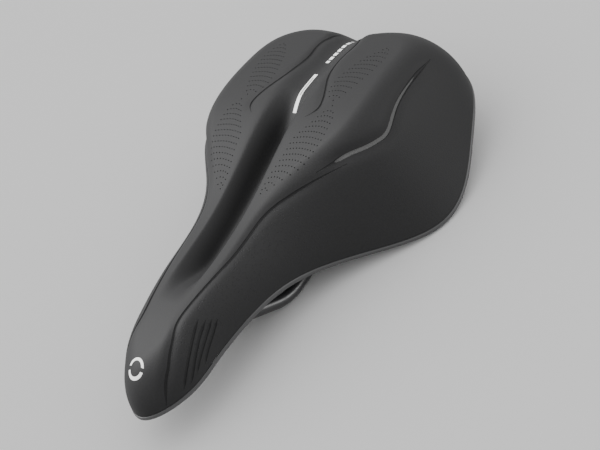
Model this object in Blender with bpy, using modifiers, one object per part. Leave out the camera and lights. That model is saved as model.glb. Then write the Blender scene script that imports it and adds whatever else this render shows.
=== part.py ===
"""Padded bicycle saddle on a bent-wire rail, sprung at the rear on two rubber buffers.

Metres, +Z up. The nose points to -Y and the rider's left is +X. The origin lies midway between the two
rails, on their centre lines, in the middle of the stretch where a seat post clamps them.
"""

import math

import bmesh
import bpy
import numpy as np
from mathutils import Vector

# ---- overall form -------------------------------------------------------------------------------
LENGTH = 0.272  # tail to nose
WIDTH = 0.1765  # across the wings
NOSE_WIDTH = 0.048  # across the nose, before its tip
SADDLE_HEIGHT = 0.060  # datum of the seat's upper surface above the rails' centre lines
TAIL_Y = 0.128  # the tail's Y; the nose tip is at TAIL_Y - LENGTH
TAIL_NOTCH = 0.001  # how far the tail's middle is cut in between its two lobes
PAD_RISE = 0.005  # how much the two rear pads stand above the centre line
PAD_REACH = 0.016  # from the centre line to where a pad is at its full height
PAD_FADE = (0.30, 0.62)  # shares of the length between which the pads die away towards the nose
CHANNEL_DEPTH = 0.012
CHANNEL_HALF_WIDTH = 0.012
CHANNEL_REAR = (0.24, 0.36)  # shares of the length between which the channel sinks
CHANNEL_FRONT = (0.64, 0.80)  # and between which it rises again
CHANNEL_FLOOR = 0.25  # share of its half width that is at full depth

# ---- layers -------------------------------------------------------------------------------------
GAP = 0.0004  # clearance between pieces that touch
SKIN_WALL = 0.0014
FOAM_DEPTH_REAR = 0.014
FOAM_DEPTH_NOSE = 0.009
FOAM_FLANK = 0.0035
BASE_WALL = 0.0026
TRIM_HEIGHT = 0.0026

# ---- rail ---------------------------------------------------------------------------------------
RAIL_DIAMETER = 0.007
RAIL_SPACING = 0.044  # centre to centre, where the seat post clamps them
CLAMP_STRETCH = 0.076  # straight length of each rail for the clamp
RAIL_REAR_Y = 0.092
RAIL_REAR_RISE = 0.008
NOSE_BAR_SETBACK = 0.044  # from the nose tip back to the rail's cross bar
NOSE_BAR_Y = TAIL_Y - LENGTH + NOSE_BAR_SETBACK
NOSE_BAR_RISE = 0.018
NOSE_BAR_WIDTH = 0.022  # centre to centre across the rail's bend under the nose
RAIL_BEND_RADIUS = 0.006
RAIL_END_LENGTH = 0.024  # level stretch at each rear end
RAIL_REAR_BEND = 0.030  # radius of each bend between the clamp stretch and the rear end
RAIL_FRONT_BEND = 0.034
RAIL_RISE_BEND = 0.024  # and beside the cross bar
RAIL_RISE_LENGTH = 0.026  # from the cross bar back to that bend
RAIL_RISE_SPREAD = 0.001  # how much wider the wire is there than at the cross bar
BEND_DEGREES = 12  # turn of the wire from one point of a bend to the next
BEND_SHARE = 0.45  # the most of a straight stretch that one bend may take

# ---- bush and cap at the nose -------------------------------------------------------------------
BUSH_LENGTH = 0.008
BUSH_WALL = 0.0022
HOUSING_WALL = 0.0030  # plastic round the bush
NOSE_SCREW_DIAMETER = 0.0036
NOSE_SCREW_HEAD = 0.0070
NOSE_SCREW_HEAD_HEIGHT = 0.0024
NOSE_SCREW_EDGE = 0.0052  # screw axis to the end of the cap

# ---- rear bridge and buffers --------------------------------------------------------------------
BRIDGE_THICKNESS = 0.003
BRIDGE_DEPTH = 0.032
BRIDGE_MARGIN = 0.007  # beyond each rail's centre line, along X
BUFFER_DIAMETER = 0.019
BUFFER_WAIST = 0.0165
BUFFER_STEPS = 6  # rows down a buffer's waisted side
BUFFER_SPACING = 0.036
BUFFER_Y = 0.080
BOLT_DIAMETER = 0.005
BOLT_HEAD = 0.0095
BOLT_HEAD_HEIGHT = 0.004
BOLT_CLEARANCE = 0.0012  # round the bolt in the bridge, where it slides and tilts
WASHER_DIAMETER = 0.011
WASHER_THICKNESS = 0.0012
INSERT_DIAMETER = 0.0085
INSERT_LENGTH = 0.007
BOSS_DIAMETER = 0.020
BOSS_DROP = 0.005  # how far each boss stands below the base over its buffer
END_CAP_WALL = 0.0020
END_CAP_LENGTH = 0.018
END_CAP_MARGIN = 0.0006  # between an end cap and the washer beside it
BRIDGE_SCREW_DIAMETER = 0.0032
BRIDGE_SCREW_HEAD = 0.0062
BRIDGE_SCREW_HEAD_HEIGHT = 0.0020
# The rail's ends stand just far enough apart to clear the washers, centre to centre.
END_CAP_REACH = RAIL_DIAMETER / 2 + GAP + END_CAP_WALL
RAIL_REAR_SPACING = BUFFER_SPACING + WASHER_DIAMETER + 2 * (END_CAP_MARGIN + END_CAP_REACH)

# ---- the seat's form ----------------------------------------------------------------------------
HALF_WIDTH = WIDTH / 2
HALF_NOSE = NOSE_WIDTH / 2

# Half of the outline seen from above, tail middle to nose tip: the share of the half width (of the nose's
# half width from the waist on), the distance from the tail as a share of the length, and where the
# section through that point starts on the centre line, as the same share.
REAR_OUTLINE = (
    (0.00, 0.000, 0.160),
    (0.415, -0.009, 0.160),
    (0.765, 0.038, 0.180),
    (0.92, 0.140, 0.220),
    (1.00, 0.260, 0.270),
    (0.94, 0.364, 0.345),
    (0.665, 0.465, 0.440),
)
NOSE_OUTLINE = (
    (1.57, 0.578, 0.555),
    (1.24, 0.712, 0.680),
    (1.06, 0.838, 0.790),
    (0.90, 0.925, 0.870),
    (0.00, 1.000, 0.900),
)
# Height of the centre line and of the lower edge below SADDLE_HEIGHT, at shares of the length.
CROWN = ((0.0, 0.007), (0.16, -0.001), (0.33, -0.002), (0.50, 0.005), (0.66, 0.009), (0.83, 0.011), (1.0, 0.022))
LOWER_EDGE = ((0.0, 0.036), (0.16, 0.050), (0.33, 0.065), (0.50, 0.056), (0.66, 0.0425), (0.83, 0.041), (1.0, 0.044))
# The shoulder and the skirt below it are one Bezier curve. These are its width across, how far its lower
# handle lies inside the edge, and the length of its upper handle, as shares of that width.
SHOULDER_ACROSS = ((0.0, 0.023), (0.2, 0.035), (0.4, 0.036), (0.62, 0.018), (1.0, 0.0205))
FLARE = ((0.0, -0.10), (0.2, 0.25), (0.4, 0.30), (0.62, -0.03), (1.0, 0.02))
SHOULDER_LEAD = ((0.0, 0.57), (0.2, 0.43), (0.4, 0.39), (0.62, 0.59), (1.0, 0.57))
SKIRT_HOLD = 0.45  # length of the lower handle, as a share of the curve's fall
SHOULDER_LIMIT = 0.85  # the most of a section that its shoulder may take
NOSE_CHANGE = (0.35, 0.62)  # shares of the length over which the foam's depth goes from rear to nose

WELD = 1e-6
OVERCUT = 0.004  # how far a cutter reaches beyond what it cuts
SOCKET_SHARE = 0.5  # radius and depth of a screw's socket, as a share of its head
STATIONS = 28  # sections round one half of the outline, tail to nose
RAY_SHARES = (0.0, 0.12, 0.24, 0.5, 0.78)  # rows from the centre line to the shoulder
CURVE_SHARES = (0.0, 0.16, 0.32, 0.48, 0.64, 0.8, 1.0)  # rows along the shoulder and skirt

PARTS = bpy.data.collections.new("bicycle_saddle")
CUTTERS = bpy.data.collections.new("cutters")


# ---- scene and materials ------------------------------------------------------------------------
def clear_scene():
    for obj in list(bpy.data.objects):
        bpy.data.objects.remove(obj, do_unlink=True)
    for collection in (PARTS, CUTTERS):
        bpy.context.scene.collection.children.link(collection)


def finish(name, colour, roughness, metallic=0.0):
    """A Principled material."""
    material = bpy.data.materials.new(name)
    material.use_nodes = True
    shader = material.node_tree.nodes["Principled BSDF"]
    shader.inputs["Base Color"].default_value = (*colour, 1.0)
    shader.inputs["Roughness"].default_value = roughness
    shader.inputs["Metallic"].default_value = metallic
    return material


def as_object(name, mesh, material, cutter=False):
    obj = bpy.data.objects.new(name, mesh)
    if cutter:
        CUTTERS.objects.link(obj)
        obj.hide_render = True
        obj.display_type = "WIRE"
    else:
        PARTS.objects.link(obj)
        mesh.materials.append(material)
    return obj


def mesh_from(bm, name, smooth_degrees=35.0):
    mesh = bpy.data.meshes.new(name)
    bm.normal_update()
    bm.to_mesh(mesh)
    bm.free()
    mesh.shade_smooth()
    mesh.set_sharp_from_angle(angle=math.radians(smooth_degrees))
    return mesh


# ---- curves through points ----------------------------------------------------------------------
def through(knots, at):
    """A smooth curve through (place, value) knots, read at a place: a natural cubic spline."""
    x = np.array([k[0] for k in knots], float)
    y = np.array([k[1:] for k in knots], float)
    n = len(x)
    step = np.diff(x)
    matrix = np.eye(n)
    right = np.zeros_like(y)
    for i in range(1, n - 1):
        matrix[i, i - 1] = step[i - 1]
        matrix[i, i] = 2 * (step[i - 1] + step[i])
        matrix[i, i + 1] = step[i]
        right[i] = 6 * ((y[i + 1] - y[i]) / step[i] - (y[i] - y[i - 1]) / step[i - 1])
    bend = np.linalg.solve(matrix, right)
    at = min(max(at, x[0]), x[-1])
    i = min(int(np.searchsorted(x, at, side="right")) - 1, n - 2)
    before = x[i + 1] - at
    after = at - x[i]
    value = (bend[i] * before**3 + bend[i + 1] * after**3) / (6 * step[i])
    value = value + (y[i] / step[i] - bend[i] * step[i] / 6) * before
    value = value + (y[i + 1] / step[i] - bend[i + 1] * step[i] / 6) * after
    return value if len(value) > 1 else float(value[0])


def ease(low, high, x):
    t = min(max((x - low) / (high - low), 0.0), 1.0)
    return t * t * (3 - 2 * t)


def outline_knots():
    """(x, distance from the tail, section start) round one half, with its neighbours past the middle."""
    notch = TAIL_NOTCH
    rear = [(x * HALF_WIDTH, s * LENGTH + notch, c * LENGTH) for x, s, c in REAR_OUTLINE]
    nose = [(x * HALF_NOSE, s * LENGTH, c * LENGTH) for x, s, c in NOSE_OUTLINE]
    half = rear + nose
    before = [(-x, s, c) for x, s, c in half[3:0:-1]]
    after = [(-x, s, c) for x, s, c in half[-2:-5:-1]]
    every = before + half + after
    places = [0.0]
    for a, b in zip(every, every[1:]):
        places.append(places[-1] + math.sqrt(math.dist(a[:2], b[:2])))
    return [(p, *q) for p, q in zip(places, every)], places[3], places[3 + len(half) - 1]


OUTLINE, OUTLINE_START, OUTLINE_END = outline_knots()


def outline_at(share):
    """Point of the half outline and its section's start on the centre line; 0 is the tail, 1 the nose."""
    x, s, start = through(OUTLINE, OUTLINE_START + share * (OUTLINE_END - OUTLINE_START))
    first = REAR_OUTLINE[0][2] * LENGTH
    last = NOSE_OUTLINE[-1][2] * LENGTH
    return Vector((max(x, 0.0), s)), Vector((0.0, min(max(start, first), last)))


def channel_drop(x, s):
    """How far the relief channel sinks the seat at a point."""
    share = s / LENGTH
    along = ease(*CHANNEL_REAR, share) * (1 - ease(*CHANNEL_FRONT, share))
    across = 1 - ease(CHANNEL_FLOOR, 1.0, abs(x) / CHANNEL_HALF_WIDTH)
    return CHANNEL_DEPTH * along * across


def seat_height(x, s):
    """Height of the seat's upper surface, before its shoulders fall away."""
    share = s / LENGTH
    pads = PAD_RISE * (1 - ease(*PAD_FADE, share)) * ease(0.0, PAD_REACH, abs(x))
    return SADDLE_HEIGHT - through(CROWN, share) + pads - channel_drop(x, s)


def seat_section(share, inset, drop_rear, drop_nose):
    """Points from the centre line out to the shoulder and down the skirt to the lower edge of one layer.

    inset narrows the outline, and the drops lower the top at the rear and at the nose.
    """
    edge, heart = outline_at(share)
    along = edge.y / LENGTH
    ray = (edge - heart).normalized()
    across = min(through(SHOULDER_ACROSS, along), SHOULDER_LIMIT * (edge - heart).length)
    lead = through(SHOULDER_LEAD, along)
    handle = 1 - through(FLARE, along)
    shoulder = edge - ray * across
    drop = drop_rear + (drop_nose - drop_rear) * ease(*NOSE_CHANGE, along)
    fall = seat_height(edge.x, edge.y) - drop - (SADDLE_HEIGHT - through(LOWER_EDGE, along))
    points = []
    for r in RAY_SHARES:
        p = heart.lerp(shoulder, r)
        points.append((p.x, p.y, seat_height(p.x, p.y) - drop))
    for t in CURVE_SHARES:
        out = 3 * t * (1 - t) ** 2 * lead + 3 * t * t * (1 - t) * handle + t**3
        down = 3 * t * t * (1 - t) * (1 - SKIRT_HOLD) + t**3
        p = shoulder + ray * across * out
        z = seat_height(p.x, p.y) - drop - fall * down
        p -= ray * inset * ease(0.0, 1.0, out)
        points.append((max(p.x, 0.0), p.y, z))
    return [Vector((x, TAIL_Y - s, z)) for x, s, z in points]


def seat_sheet(bm, inset, drop_rear, drop_nose, lift):
    """Half of one layer as a sheet open along the middle. lift raises its lower edge.

    Every four-sided patch is split on the same diagonal in every layer, so that the layers stay parallel.
    The last strip is split the other way, so that no face lies flat on the middle.
    """
    rows = []
    for k in range(STATIONS + 1):
        section = seat_section(k / STATIONS, inset, drop_rear, drop_nose)
        section[-1].z += lift
        on_middle = k in (0, STATIONS)
        rows.append([bm.verts.new((0.0 if on_middle else p.x, p.y, p.z)) for p in section])
    for a, b in zip(rows, rows[1:]):
        for i in range(len(a) - 1):
            if b is rows[-1]:
                halves = ((a[i], a[i + 1], b[i]), (a[i + 1], b[i + 1], b[i]))
            else:
                halves = ((a[i], a[i + 1], b[i + 1]), (a[i], b[i + 1], b[i]))
            for half in halves:
                bm.faces.new(half)
    return rows


def bridge_rows(bm, first, second):
    """Quads between two rows of vertices of equal length."""
    for a, b, c, d in zip(first, first[1:], second[1:], second):
        bm.faces.new((a, b, c, d))


def mirrored(obj):
    mirror = obj.modifiers.new("mirror", "MIRROR")
    mirror.use_axis = (True, False, False)
    mirror.use_clip = True
    mirror.merge_threshold = 0.0001
    return mirror


def layered(name, outer, inner, material, cutter=False):
    """A closed layer lofted between two sheets, each an (inset, rear drop, nose drop, lift of its edge)."""
    bm = bmesh.new()
    outside = seat_sheet(bm, *outer)
    inside_first = len(bm.faces)
    inside = seat_sheet(bm, *inner)
    bm.faces.ensure_lookup_table()
    bmesh.ops.reverse_faces(bm, faces=bm.faces[inside_first:])
    bridge_rows(bm, [row[-1] for row in inside], [row[-1] for row in outside])
    bmesh.ops.remove_doubles(bm, verts=bm.verts, dist=WELD)
    bmesh.ops.recalc_face_normals(bm, faces=bm.faces)
    obj = as_object(name, mesh_from(bm, name), material, cutter)
    mirrored(obj)
    return obj


# ---- general pieces -----------------------------------------------------------------------------
def turned(name, profile, centre, material, steps=24, cutter=False):
    """A solid turned about a vertical axis; the profile's (radius, height) points run top to bottom."""
    mesh = bpy.data.meshes.new(name)
    mesh.from_pydata([(r, 0.0, z) for r, z in profile], [(i, i + 1) for i in range(len(profile) - 1)], [])
    obj = as_object(name, mesh, material, cutter)
    obj.location = centre
    screw = obj.modifiers.new("turn", "SCREW")
    screw.steps = steps
    screw.render_steps = steps
    screw.use_merge_vertices = True
    screw.merge_threshold = 0.0001
    screw.use_smooth_shade = True
    return obj


def box(name, low, high, material, bevel=0.0, cutter=False):
    bm = bmesh.new()
    bmesh.ops.create_cube(bm, size=1.0)
    size = Vector(high) - Vector(low)
    bmesh.ops.scale(bm, vec=size, verts=bm.verts)
    obj = as_object(name, mesh_from(bm, name), material, cutter)
    obj.location = (Vector(low) + Vector(high)) / 2
    if bevel:
        rounding = obj.modifiers.new("bevel", "BEVEL")
        rounding.width = bevel
        rounding.segments = 2
    return obj


def cut(obj, cutter):
    boolean = obj.modifiers.new("cut " + cutter.name, "BOOLEAN")
    boolean.operation = "DIFFERENCE"
    boolean.object = cutter
    return boolean


def wire(name, points, radius, material, resolution=2, cutter=False):
    """A round wire through the points, made a mesh with welded caps."""
    curve = bpy.data.curves.new(name, "CURVE")
    curve.dimensions = "3D"
    curve.bevel_depth = radius
    curve.bevel_resolution = resolution
    curve.use_fill_caps = True
    spline = curve.splines.new("POLY")
    spline.points.add(len(points) - 1)
    for place, p in zip(spline.points, points):
        place.co = (*p, 1.0)
    guide = bpy.data.objects.new(name, curve)
    bpy.context.scene.collection.objects.link(guide)
    graph = bpy.context.evaluated_depsgraph_get()
    mesh = bpy.data.meshes.new_from_object(guide.evaluated_get(graph))
    bpy.data.objects.remove(guide, do_unlink=True)
    bm = bmesh.new()
    bm.from_mesh(mesh)
    bpy.data.meshes.remove(mesh)
    bmesh.ops.remove_doubles(bm, verts=bm.verts, dist=WELD)
    bmesh.ops.recalc_face_normals(bm, faces=bm.faces)
    return as_object(name, mesh_from(bm, name, 60.0), material, cutter)


# ---- rail ---------------------------------------------------------------------------------------
def rail_route():
    """Points along the wire from its left rear end round the nose to its right rear end.

    Each corner of the route is turned into a smooth bend of about the radius beside it.
    """
    rear = RAIL_REAR_SPACING / 2
    middle = RAIL_SPACING / 2
    front = NOSE_BAR_WIDTH / 2
    half = [
        (Vector((rear, RAIL_REAR_Y, RAIL_REAR_RISE)), 0.0),
        (Vector((rear, RAIL_REAR_Y - RAIL_END_LENGTH, RAIL_REAR_RISE)), RAIL_REAR_BEND),
        (Vector((middle, CLAMP_STRETCH / 2, 0.0)), RAIL_REAR_BEND),
        (Vector((middle, -CLAMP_STRETCH / 2, 0.0)), RAIL_FRONT_BEND),
        (Vector((front + RAIL_RISE_SPREAD, NOSE_BAR_Y + RAIL_RISE_LENGTH, NOSE_BAR_RISE)), RAIL_RISE_BEND),
        (Vector((front, NOSE_BAR_Y, NOSE_BAR_RISE)), RAIL_BEND_RADIUS),
    ]
    corners = half + [(Vector((-p.x, p.y, p.z)), r) for p, r in reversed(half)]
    points = [corners[0][0]]
    for (a, _), (b, radius), (c, _) in zip(corners, corners[1:], corners[2:]):
        into = (a - b).normalized()
        away = (c - b).normalized()
        opening = into.angle(away)
        cut_back = min(radius / math.tan(opening / 2), BEND_SHARE * min((a - b).length, (c - b).length))
        start = b + into * cut_back
        end = b + away * cut_back
        turns = max(3, round(math.degrees(math.pi - opening) / BEND_DEGREES))
        for i in range(turns + 1):
            t = i / turns
            points.append(start * (1 - t) ** 2 + b * 2 * t * (1 - t) + end * t**2)
    points.append(corners[-1][0])
    return points


def make_rail(steel):
    return wire("rail_wire", rail_route(), RAIL_DIAMETER / 2, steel, resolution=3)


def base_underside(y):
    """Height of the base's lower face on the centre line, with the channel left out."""
    along = (TAIL_Y - y) / LENGTH
    rear = SKIN_WALL + FOAM_DEPTH_REAR + 2 * GAP + BASE_WALL
    nose = SKIN_WALL + FOAM_DEPTH_NOSE + 2 * GAP + BASE_WALL
    return SADDLE_HEIGHT - through(CROWN, along) - rear - (nose - rear) * ease(*NOSE_CHANGE, along)


# ---- the seat: skin, foam, base and edge strip --------------------------------------------------
def make_seat(skin, foam, plastic):
    """Returns the base, with its nose housing and its two bosses, trimmed level with its upper face."""
    base_drop_rear = SKIN_WALL + FOAM_DEPTH_REAR + 2 * GAP
    base_drop_nose = SKIN_WALL + FOAM_DEPTH_NOSE + 2 * GAP
    base_inset = SKIN_WALL + FOAM_FLANK + 2 * GAP
    foam_outer = SKIN_WALL + GAP
    lift = TRIM_HEIGHT + GAP
    layered("cover_skin", (0.0, 0.0, 0.0, lift), (SKIN_WALL, SKIN_WALL, SKIN_WALL, lift), skin)
    layered(
        "foam_padding",
        (foam_outer, foam_outer, foam_outer, lift),
        (base_inset - GAP, base_drop_rear - GAP, base_drop_nose - GAP, lift),
        foam,
    )
    base_top = (base_inset, base_drop_rear, base_drop_nose, lift)
    base_under = (base_inset + BASE_WALL, base_drop_rear + BASE_WALL, base_drop_nose + BASE_WALL, lift)
    base = layered("base_shell", base_top, base_under, plastic)
    join(base, housing_block())
    for way in (1, -1):
        join(base, boss(way))
    above = (base_inset - GAP / 2, base_drop_rear - GAP / 2, base_drop_nose - GAP / 2, lift)
    cut(base, layered("foam_space", (0.0, -BASE_WALL, -BASE_WALL, lift), above, None, cutter=True))
    return base


def make_trim(strip):
    """The strip round the lower edge: it covers the edges of the skin, the foam and the base."""
    depth = SKIN_WALL + FOAM_FLANK + 2 * GAP + BASE_WALL
    bm = bmesh.new()
    rings = []
    for k in range(STATIONS + 1):
        edge, heart = outline_at(k / STATIONS)
        on_middle = k in (0, STATIONS)
        rim = SADDLE_HEIGHT - through(LOWER_EDGE, edge.y / LENGTH)
        inner = edge - (edge - heart).normalized() * depth
        corners = ((edge, rim), (edge, rim + TRIM_HEIGHT), (inner, rim + TRIM_HEIGHT), (inner, rim))
        rings.append([bm.verts.new((0.0 if on_middle else p.x, TAIL_Y - p.y, z)) for p, z in corners])
    for a, b in zip(rings, rings[1:]):
        for i in range(4):
            bm.faces.new((a[i], a[(i + 1) % 4], b[(i + 1) % 4], b[i]))
    bmesh.ops.recalc_face_normals(bm, faces=bm.faces)
    obj = as_object("edge_trim", mesh_from(bm, "edge_trim"), strip)
    mirrored(obj)
    return obj


# ---- nose: housing, bush, cap and screws --------------------------------------------------------
HOUSING_BORE = RAIL_DIAMETER / 2 + BUSH_WALL + 2 * GAP
HOUSING_HALF = BUSH_LENGTH / 2
CAP_HALF = HOUSING_BORE + HOUSING_WALL + NOSE_SCREW_EDGE  # along Y
NOSE_SCREW_Y = HOUSING_BORE + HOUSING_WALL


def tube_along_x(name, outer, inner, length, centre, material, steps=20):
    """A sleeve round a bar that runs along X."""
    half = length / 2
    profile = [(inner, half), (outer, half), (outer, -half), (inner, -half), (inner, half)]
    obj = turned(name, profile, centre, material, steps)
    obj.rotation_euler = (0.0, math.pi / 2, 0.0)
    return obj


def rod(name, radius, low, high, place, steps=20):
    """An upright cylinder used as a cutter, or joined to another piece."""
    profile = [(0.0, high), (radius, high), (radius, low), (0.0, low)]
    return turned(name, profile, (*place, 0.0), None, steps, cutter=True)


def housing_block():
    """The block under the base that the bush sits in, tall enough to reach through the base."""
    low = (-HOUSING_HALF, NOSE_BAR_Y - CAP_HALF, NOSE_BAR_RISE + GAP)
    high = (HOUSING_HALF, NOSE_BAR_Y + CAP_HALF, base_underside(NOSE_BAR_Y) + 2 * BASE_WALL)
    return box("housing_block", low, high, None, cutter=True)


def make_nose(base, rubber, plastic, steel):
    centre = (0.0, NOSE_BAR_Y, NOSE_BAR_RISE)
    inner = RAIL_DIAMETER / 2 + GAP
    tube_along_x("nose_bush", inner + BUSH_WALL, inner, BUSH_LENGTH, centre, rubber)
    joint = NOSE_BAR_RISE
    front = NOSE_BAR_Y - CAP_HALF
    back = NOSE_BAR_Y + CAP_HALF
    cap_low = joint - HOUSING_BORE - HOUSING_WALL
    cap = box("nose_cap", (-HOUSING_HALF, front, cap_low), (HOUSING_HALF, back, joint), plastic)
    reach = 2 * HOUSING_HALF
    profile = [(0.0, reach), (HOUSING_BORE, reach), (HOUSING_BORE, -reach), (0.0, -reach)]
    bore = turned("bush_bore", profile, centre, None, 24, cutter=True)
    bore.rotation_euler = (0.0, math.pi / 2, 0.0)
    cut(base, bore)
    cut(cap, bore)
    screw_top = joint + HOUSING_BORE + HOUSING_WALL
    for name, way in (("front", -1), ("rear", 1)):
        y = NOSE_BAR_Y + way * NOSE_SCREW_Y
        clear = NOSE_SCREW_DIAMETER / 2 + GAP
        hole = rod("nose_hole_" + name, clear, cap_low - OVERCUT, screw_top + GAP, (0.0, y))
        cut(base, hole)
        cut(cap, hole)
        head = NOSE_SCREW_HEAD / 2
        shank = NOSE_SCREW_DIAMETER / 2
        under = cap_low - GAP
        foot = under - NOSE_SCREW_HEAD_HEIGHT
        socket = head * SOCKET_SHARE
        floor = foot + NOSE_SCREW_HEAD_HEIGHT * SOCKET_SHARE
        profile = [
            (0.0, screw_top), (shank, screw_top), (shank, under), (head, under),
            (head, foot), (socket, foot), (socket, floor), (0.0, floor),
        ]
        turned("nose_screw_" + name, profile, (0.0, y, 0.0), steel, 16)


def join(obj, other):
    boolean = obj.modifiers.new("join " + other.name, "BOOLEAN")
    boolean.operation = "UNION"
    boolean.object = other
    return boolean


# ---- rear: bridge, end caps, buffers and their bolts --------------------------------------------
BRIDGE_LOW = RAIL_REAR_RISE + RAIL_DIAMETER / 2 + GAP + END_CAP_WALL + GAP
BRIDGE_TOP = BRIDGE_LOW + BRIDGE_THICKNESS
BUFFER_LOW = BRIDGE_TOP + GAP


def boss(way):
    """The boss under the base over one buffer, tall enough to reach through the base."""
    low = base_underside(BUFFER_Y) - BOSS_DROP
    high = base_underside(BUFFER_Y) + BASE_WALL + PAD_RISE
    place = (way * BUFFER_SPACING / 2, BUFFER_Y)
    return rod("boss_left" if way > 0 else "boss_right", BOSS_DIAMETER / 2, low, high, place, steps=28)


def make_rear(base, rubber, plastic, steel, zinc, brass):
    bolt = BOLT_DIAMETER / 2
    boss_low = base_underside(BUFFER_Y) - BOSS_DROP
    buffer_top = boss_low - GAP
    half_x = RAIL_REAR_SPACING / 2 + BRIDGE_MARGIN
    bridge_back = RAIL_REAR_Y + GAP + BRIDGE_SCREW_DIAMETER + 2 * END_CAP_WALL
    low = (-half_x, bridge_back - BRIDGE_DEPTH, BRIDGE_LOW)
    bridge = box("rear_bridge", low, (half_x, bridge_back, BRIDGE_TOP), steel)
    insert_radius = INSERT_DIAMETER / 2
    for side, way in (("left", 1), ("right", -1)):
        place = (way * BUFFER_SPACING / 2, BUFFER_Y)
        insert_top = boss_low + INSERT_LENGTH
        seat = rod("insert_hole_" + side, insert_radius + GAP, boss_low - OVERCUT, insert_top + GAP, place, 24)
        cut(base, seat)
        clear = bolt + BOLT_CLEARANCE
        cut(bridge, rod("bolt_hole_" + side, clear, BRIDGE_LOW - OVERCUT, BRIDGE_TOP + OVERCUT, place))
        tube("threaded_insert_" + side, insert_radius, bolt + GAP, boss_low, insert_top, place, brass)
        outer = BUFFER_DIAMETER / 2
        waist = BUFFER_WAIST / 2
        inner = bolt + 2 * GAP
        height = buffer_top - BUFFER_LOW
        profile = [(inner, buffer_top), (outer, buffer_top)]
        for i in range(1, BUFFER_STEPS):
            t = i / BUFFER_STEPS
            profile.append((outer - (outer - waist) * math.sin(math.pi * t), buffer_top - height * t))
        profile += [(outer, BUFFER_LOW), (inner, BUFFER_LOW), (inner, buffer_top)]
        turned("elastomer_" + side, profile, (*place, 0.0), rubber, 24)
        washer_top = BRIDGE_LOW - GAP
        washer_low = washer_top - WASHER_THICKNESS
        tube("elastomer_washer_" + side, WASHER_DIAMETER / 2, bolt + GAP, washer_low, washer_top, place, zinc)
        head_top = washer_low - GAP
        head_low = head_top - BOLT_HEAD_HEIGHT
        head = BOLT_HEAD / 2
        socket = head * SOCKET_SHARE
        tip = insert_top - GAP
        floor = head_low + BOLT_HEAD_HEIGHT * SOCKET_SHARE
        profile = [
            (0.0, tip), (bolt, tip), (bolt, head_top), (head, head_top),
            (head, head_low), (socket, head_low), (socket, floor), (0.0, floor),
        ]
        turned("elastomer_bolt_" + side, profile, (*place, 0.0), zinc, 20)
        make_end_cap(side, way, bridge, plastic, zinc)


def tube(name, outer, inner, low, high, place, material, steps=24):
    profile = [(inner, high), (outer, high), (outer, low), (inner, low), (inner, high)]
    return turned(name, profile, (*place, 0.0), material, steps)


def make_end_cap(side, way, bridge, plastic, zinc):
    """A plastic shoe on the rail's end, held under the bridge by one screw behind the wire."""
    rail = RAIL_DIAMETER / 2
    reach = END_CAP_REACH
    x = way * RAIL_REAR_SPACING / 2
    screw = BRIDGE_SCREW_DIAMETER / 2
    tail = 2 * screw + 2 * END_CAP_WALL
    back = RAIL_REAR_Y + GAP + tail
    low = (x - reach, RAIL_REAR_Y - END_CAP_LENGTH, RAIL_REAR_RISE - reach)
    high = (x + reach, back, RAIL_REAR_RISE + reach)
    cap = box("rail_end_cap_" + side, low, high, plastic)
    end = Vector((x, RAIL_REAR_Y + GAP, RAIL_REAR_RISE))
    mouth = end - Vector((0.0, END_CAP_LENGTH + OVERCUT, 0.0))
    cut(cap, wire("rail_hole_" + side, [end, mouth], rail + GAP, None, resolution=3, cutter=True))
    y = RAIL_REAR_Y + GAP + tail / 2
    top = BRIDGE_TOP + GAP
    foot = RAIL_REAR_RISE - reach / 2
    hole = rod("bridge_hole_" + side, screw + GAP, foot - GAP, top + OVERCUT, (x, y), steps=16)
    cut(cap, hole)
    cut(bridge, hole)
    head = BRIDGE_SCREW_HEAD / 2
    head_top = top + BRIDGE_SCREW_HEAD_HEIGHT
    socket = head * SOCKET_SHARE
    floor = head_top - BRIDGE_SCREW_HEAD_HEIGHT * SOCKET_SHARE
    profile = [
        (0.0, floor), (socket, floor), (socket, head_top), (head, head_top),
        (head, top), (screw, top), (screw, foot), (0.0, foot),
    ]
    turned("bridge_screw_" + side, profile, (x, y, 0.0), zinc, 16)


def main():
    clear_scene()
    skin = finish("moulded_skin", (0.035, 0.035, 0.037), 0.62)
    foam = finish("foam", (0.09, 0.09, 0.09), 0.95)
    plastic = finish("base_plastic", (0.03, 0.03, 0.03), 0.5)
    strip = finish("edge_strip", (0.06, 0.06, 0.06), 0.55)
    rubber = finish("buffer_rubber", (0.05, 0.05, 0.05), 0.8)
    steel = finish("rail_steel", (0.05, 0.05, 0.055), 0.35, 0.8)
    zinc = finish("zinc_plate", (0.55, 0.56, 0.58), 0.35, 1.0)
    brass = finish("brass", (0.72, 0.53, 0.25), 0.35, 1.0)
    base = make_seat(skin, foam, plastic)
    make_trim(strip)
    make_rail(steel)
    make_nose(base, rubber, plastic, zinc)
    make_rear(base, rubber, plastic, steel, zinc, brass)


main()
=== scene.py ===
# %% [markdown]
# # A padded bicycle saddle
#
# A touring saddle is built in layers. A stiff plastic base carries a moulded foam pad, a thin skin is
# drawn over the foam, and a narrow strip hides the edge where the three meet. Under the base, one bent
# steel wire makes both rails. It turns in a rubber bush at the nose and hangs from a steel bridge at the
# rear, where two rubber buffers let the seat move.
#
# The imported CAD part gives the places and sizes. This lesson makes the surfaces that show: each cell
# explains one piece, then builds it.

import math

import bmesh
import bpy
import numpy as np
from mathutils import Matrix, Vector


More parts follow.
